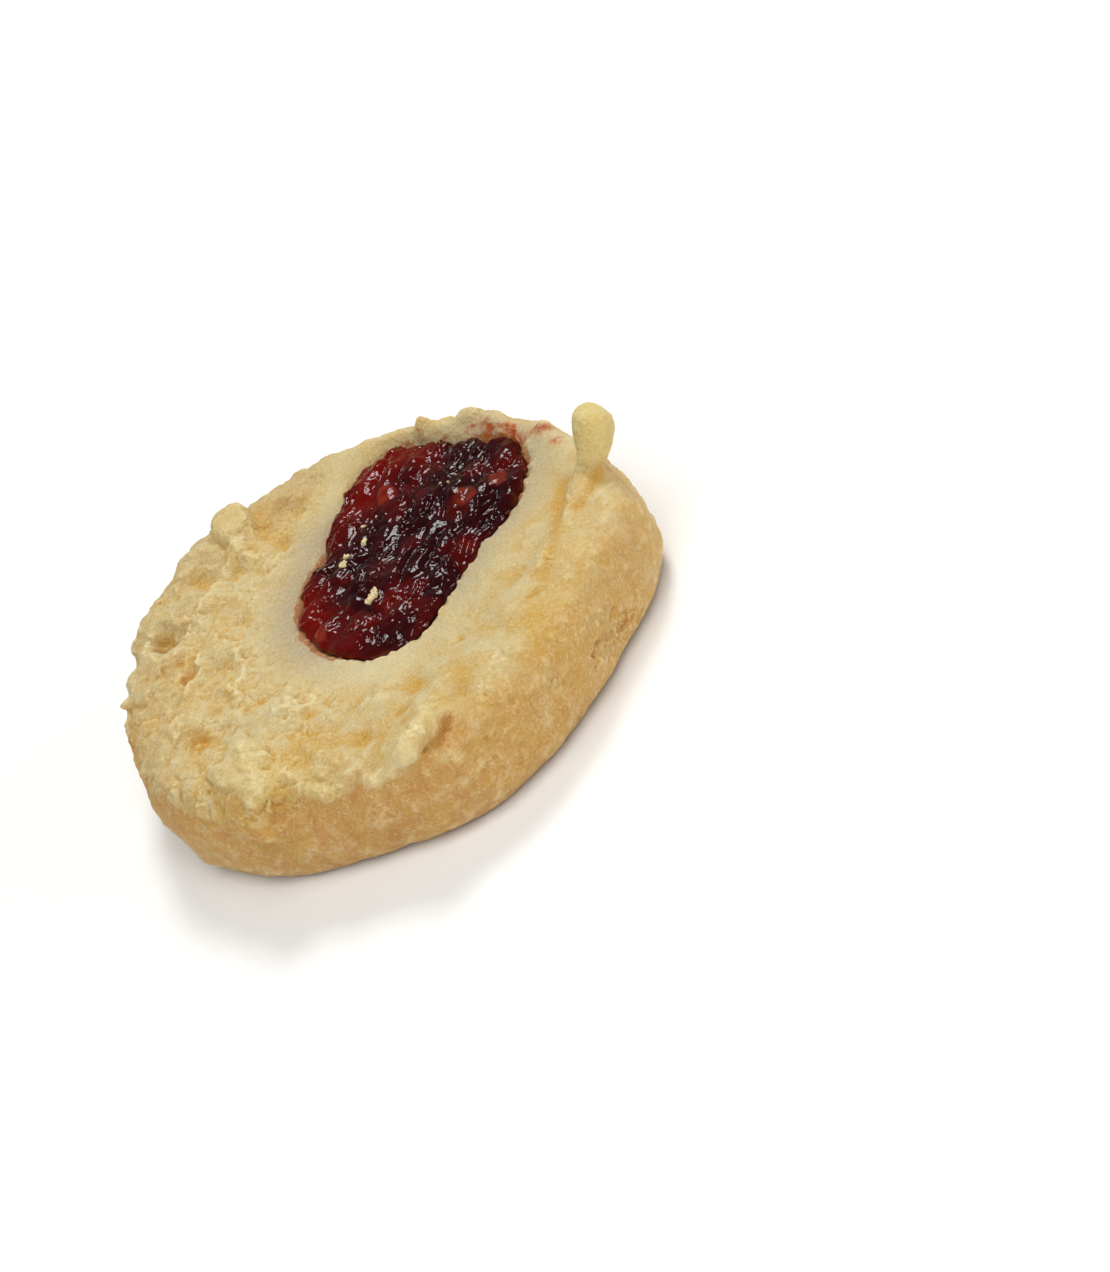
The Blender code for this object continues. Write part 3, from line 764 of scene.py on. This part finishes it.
def paintDough(mesh, points, normals, edges, gap):
    # where each colour shows, from 0 to 1 at each point
    x, y, z = points.T
    upper = topLayer(points)
    lively = unrest(points, gap)
    ends = pulledEnds(points)
    knob = smoothStep(*dough["knobs"], z)
    patch = field(points, 5.0, 61.0) + 0.9 * field(points, 1.9, 63.0)
    onRidge, inHollow = creases(points)
    near = np.sum((relaxed(points, edges, 8) - points) * normals, axis=1)
    wide = np.sum((relaxed(points, edges, 60) - points) * normals, axis=1)

    # hollows are golden: painted warm shade, over butter that browns there
    dip = smoothStep(0.02, -0.4, softLumps(points) + 0.5 * field(points, 1.1, 57.0))
    foldBrownAndShade = smoothStep(0.02, 0.14, near) * 0.4 + smoothStep(0.05, 0.4, wide) * 0.6 + 0.25 * dip
    foldBrownAndShade += 0.95 * inHollow
    foldBrownAndShade *= 1.0 - 0.35 * smoothStep(2.0, 12.0, y)

    # crests and crumbly patches are floury, and the dough below the jam is milky
    crest = smoothStep(0.03, 0.16, -near) * 0.35 + smoothStep(0.1, 0.5, -wide) * 0.2
    crest += 0.3 * onRidge * smoothStep(-0.2, 0.2, field(points, 1.2, 89.0))
    flour = field(points, 0.7, 87.0)
    for spot, reach in chalkSpots:
        away = awayFrom(points, spot) / reach
        crest += 0.38 * smoothStep(0.1, 0.5, flour + 0.5 * (1.0 - away)) * smoothStep(1.3, 0.6, away)
    milky = smoothStep(7.0, 3.0, gap) * smoothStep(-2.0, -6.0, y) * smoothStep(5.0, 0.0, x)

    # browning grows outwards, on slopes and at the far side, and the rim is darker in patches
    outward = smoothStep(4.0, 16.0, gap)
    slope = smoothStep(0.95, 0.6, normals[:, 2])
    far = smoothStep(12.0, 20.0, y + 0.2 * x)
    reach = fromAxis(points) + 1.4 * field(points, 2.2, 35.0) + 0.7 * field(points, 0.8, 36.0)
    rim = smoothStep(18.9, 20.3, reach) * smoothStep(4.0, 12.0, y - 0.8 * x)
    radial = np.sum(points[:, :2] * normals[:, :2], axis=1) / fromAxis(points)
    # faces turned outward near the edge get painted warm shade: browner on what stands up, a little tan on
    # top
    turned = smoothStep(0.25, 0.9, radial) * smoothStep(20.0, 24.0, fromAxis(points))
    bakeAndShade = 0.2 * outward + 0.3 * smoothStep(-11.0, -18.0, y) + 0.3 * slope * lively
    bakeAndShade = (bakeAndShade + 0.3 * far + 0.05 * rim + 0.6 * patch) * (0.2 + 0.8 * lively)
    bakeAndShade = bakeAndShade * (1.0 - knob) + knob * (0.2 + 0.3 * patch + 0.4 * turned)
    right = smoothStep(8.0, 24.0, x - 0.3 * y)
    wall = (1.0 - upper) * (1.0 - 0.45 * right) + upper * (1.0 - 0.6 * right) * 0.1 * turned
    left = smoothStep(10.0, -6.0, x - 0.5 * y)
    shade = 0.3 * rim + 0.05 * far + 0.1 * outward * left * smoothStep(0.0, 12.0, y)
    shade *= upper * lively * (1.0 + 0.8 * patch) * smoothStep(1.5, 4.5, gap)

    # beside the jam: greyer, more so on the right, with painted shade on the left where the dough turns away
    # from the light; wetted by jam at the left and far ends
    greyAndShade = 0.1 + 0.9 * smoothStep(2.0, -5.0, x - 0.35 * y)
    greyAndShade += 0.6 * smoothStep(5.0, 11.0, x)
    greyAndShade *= smoothStep(5.5, 0.5, gap) * upper * smoothStep(19.0, 14.0, y)
    tips = smoothStep(6.0, -3.0, x - 0.5 * y) * smoothStep(14.0, 8.0, y) + smoothStep(16.0, 19.0, x)
    # jam soaked into the far rim, and painted warm shade along the crevices and the crack
    stirred = points + 0.5 * (drifted(points) - points) + 0.5 * field(points, 0.8, 83.0)[:, None]
    stainAndShade = sum(share * lineBump(stirred, line, halfWidth) for line, halfWidth, share in stainAndShadeLines)
    stainAndShade *= (0.8 + 1.2 * field(points, 0.7, 81.0)) * smoothStep(3.0, 5.0, z + 2.5 * (x > 14.0))

    yellow = sum(lineBump(points, line, 1.6 * halfWidth) for line, halfWidth, _ in yellowRidges)
    under = smoothStep(1.4, 0.2, z + 0.8 * field(points, 1.5, 71.0))
    masks = {
        "bakeAndShade": bakeAndShade,
        "wall": wall,
        "shade": shade * (1.0 - knob),
        "yolk": 0.9 * ends * ends * (1.0 - 0.5 * patch) + 0.5 * yellow * upper * (1.0 - ends),
        "unrest": lively * (1.0 - ends),
        "foldBrownAndShade": foldBrownAndShade * lively * 0.95 * (1.0 - 0.8 * knob) * (0.3 + 0.7 * upper),
        "crest": crest * (0.35 + 0.65 * lively) + 0.3 * milky * upper,
        "greyAndShade": greyAndShade,
        "soak": smoothStep(1.2, 0.3, gap) * (0.64 + 0.26 * tips),
        "stainAndShade": stainAndShade,
        "under": under * 0.8,
    }
    for name, values in masks.items():
        writeAttribute(mesh, name, values)


# Jam

jam = {
    "voxel": 0.12,
    "spread": 0.15,                  # how far its edge creeps into the dough, and the most it may
    "mostSpread": 0.5,
    "sink": 0.35,                    # how far its edge dips into the dough
    "lump": (2.4, 1.1),              # size and height, as in the next two
    "wrinkle": (0.6, 0.3),
    "grain": (0.4, 0.06),
    "stretchAlong": (0.72, 0.69),    # wrinkles run this way in plan, and how much
    "stretch": 0.6,
    "seedHeight": 0.12,              # how far the skin stands up over a seed
    "seedShare": 0.6,                # how much of a seed's colour shows
}

# Seeds under the skin: place, half length across the picture and half length away from the eye
seeds = [
    ((7.3, 13.0), 1.2, 1.35), ((13.7, 4.8), 1.35, 1.3), ((17.2, 4.8), 1.1, 1.3), ((-4.8, -0.8), 0.8, 1.2),
]

# Where the jam is thin enough to glow red: place, reach and strength
redSpots = [
    ((8.5, 18.2), 3.4, 0.9), ((4.6, 14.6), 3.0, 0.9), ((12.4, 17.4), 2.6, 0.6), ((18.4, 6.6), 2.0, 0.5),
    ((-4.4, 4.2), 2.6, 0.8), ((-6.0, 0.6), 2.4, 0.8), ((0.8, 11.4), 2.0, 0.5), ((9.8, 9.6), 1.4, 0.4),
    ((11.6, -1.0), 1.2, 0.5), ((-3.0, -4.6), 2.2, 0.6), ((2.0, -3.5), 2.4, 0.4), ((3.6, 2.2), 1.6, 0.3),
]


def jamShift(points, normals):
    # lumps of fruit and sharp wrinkles, drawn out along one way
    top = smoothStep(0.2, 0.6, normals[:, 2])
    along = np.array([*jam["stretchAlong"], 0.0])
    squeezed = points - jam["stretch"] * np.outer(points @ along, along)
    warp = 0.6 * shaken(points, 1.8, (2.0, 4.0, 6.0))
    size, height = jam["lump"]
    lump = height * (np.abs(field(squeezed + warp, size)) - 0.2)
    size, height = jam["wrinkle"]
    wrinkle = height * (0.25 - np.abs(field(squeezed + warp, size, 11.0)))
    wrinkle *= 0.25 + 0.9 * smoothStep(-0.2, 0.2, field(points, 2.6, 15.0))
    size, height = jam["grain"]
    grain = height * field(points, size, 23.0)
    return top * (lump + wrinkle + grain)


def overSeeds(points, normals):
    # 1 over each seed
    over = np.zeros(len(points))
    for place, across, away in seeds:
        offset = (points[:, :2] - np.array(place)) / np.array([across, away])
        over = np.maximum(over, smoothStep(1.25, 0.6, fromAxis(offset)) * (normals[:, 2] > 0.0))
    return over


def makeJam():
    mesh = remeshed(nodeCopy("jam"), jam["voxel"])
    mesh.name = "jamPool"
    edges = readEdges(mesh)
    points = relaxed(readPoints(mesh), edges, 4)
    writePoints(mesh, points)
    normals = readNormals(mesh)
    gap = outlineGap(points, "jam")
    flat = points * np.array([1.0, 1.0, 0.0])
    creep = jam["spread"] + field(flat, 2.2, 7.0) + 0.5 * field(flat, 0.9, 8.0)
    creep = np.clip(creep, 0.0, jam["mostSpread"]) * smoothStep(-1.6, -0.3, gap)
    outward = np.concatenate([points[:, :2] - jamMiddle, np.zeros((len(points), 1))], axis=1)
    outward /= np.linalg.norm(outward, axis=1)[:, None]
    seedMask = overSeeds(points, normals)
    shift = jamShift(points, normals) * (1.0 - 0.5 * seedMask) + jam["seedHeight"] * seedMask
    brim = smoothStep(-0.35, 0.05, gap)
    points = points + normals * (shift * (1.0 - 0.8 * brim))[:, None] + outward * creep[:, None]
    points[:, 2] -= jam["sink"] * brim
    writePoints(mesh, points)
    paintJam(mesh, points, readNormals(mesh), edges, gap, seedMask)
    print("jam:", len(mesh.polygons), "faces")
    return mesh


def paintJam(mesh, points, normals, edges, gap, seedMask):
    # where it is thin (less in the skin's hollows, as painted shade), over seeds, or hardly there, from 0 to
    # 1 at each point
    x, y, _ = points.T
    hollow = np.sum((relaxed(points, edges, 30) - points) * normals, axis=1)
    ends = np.clip(smoothStep(8.0, -2.0, x - 0.5 * y) + smoothStep(16.0, 19.0, x), 0.0, 1.0)
    thinAndShade = 0.06 + smoothStep(-1.6, -0.1, gap) * (0.06 + 0.2 * ends)
    thinAndShade += 0.3 * smoothStep(0.1, 0.4, field(points, 3.0, 33.0))
    for place, reach, strength in redSpots:
        thinAndShade += strength * np.exp(-(np.hypot(x - place[0], y - place[1]) / reach) ** 2)
    # painted shade: the skin's hollows are darker
    thinAndShade -= smoothStep(0.0, 0.25, hollow) * 0.4
    seed = smoothStep(0.2, 1.1, seedMask + 0.6 * field(points, 0.9, 3.0)) * jam["seedShare"]
    rim = smoothStep(-0.45, 0.15, gap + 0.6 * field(points, 1.0, 37.0))
    writeAttribute(mesh, "thinAndShade", thinAndShade)
    writeAttribute(mesh, "seed", seed)
    writeAttribute(mesh, "fringe", rim * (0.1 + 0.45 * ends))


# Crumbs on the jam

crumbs = {
    "voxel": 0.1,
    "bumps": (0.32, 0.24),           # size and height of the crumbs' own roughness
    # number of lumps in each crumb, then the crumbs' places on the jam and sizes
    "large": (5, [((0.2, 6.2), 0.5), ((0.9, 7.2), 0.45), ((3.1, 7.6), 0.45), ((1.1, -1.2), 0.55),
                  ((1.7, -0.6), 0.45)]),
    "small": (2, [((5.4, 10.4), 0.25), ((13.0, 9.0), 0.22), ((14.0, 9.6), 0.2), ((3.9, 10.0), 0.3),
                  ((12.2, 9.2), 0.18)]),
}


def addLump(shape, place, size, chooser):
    turn = Euler([chooser.uniform(0.0, 6.28) for _ in range(3)]).to_matrix().to_4x4()
    stretch = Matrix.Diagonal((
        chooser.uniform(0.8, 1.3), chooser.uniform(0.7, 1.0), chooser.uniform(0.6, 0.9), 1.0))
    bmesh.ops.create_icosphere(shape, subdivisions=2, radius=size * mm,
                               matrix=Matrix.Translation(place) @ turn @ stretch)


def makeCrumbs(jamMesh):
    tree = BVHTree.FromPolygons([v.co for v in jamMesh.vertices], [p.vertices for p in jamMesh.polygons])
    chooser = random.Random(11)
    shape = bmesh.new()
    for lumps, places in (crumbs["large"], crumbs["small"]):
        for (x, y), size in places:
            for _ in range(lumps):
                above = Vector((x + chooser.uniform(-0.6, 0.6) * size,
                                y + chooser.uniform(-0.6, 0.6) * size, 30.0)) * mm
                spot, normal, _, _ = tree.ray_cast(above, Vector((0.0, 0.0, -1.0)))
                addLump(shape, spot + normal * size * 0.25 * mm, size * chooser.uniform(0.4, 0.75), chooser)
    mesh = remeshed(shape, crumbs["voxel"])
    mesh.name = "looseCrumbs"
    size, height = crumbs["bumps"]
    points = readPoints(mesh)
    points += readNormals(mesh) * (height * field(points, size, 2.0))[:, None]
    writePoints(mesh, points)
    print("crumbs:", len(mesh.polygons), "faces")
    return mesh


addStudio()
doughMesh = makeDough()
jamMesh = makeJam()
newPiece("cookieDough", doughMesh, bakedButterDough(), "dough", "biscuit")
newPiece("jamPool", jamMesh, setBerryJam(), "jam", "jam")
newPiece("looseCrumbs", makeCrumbs(jamMesh), dryCrumb(), "dough")
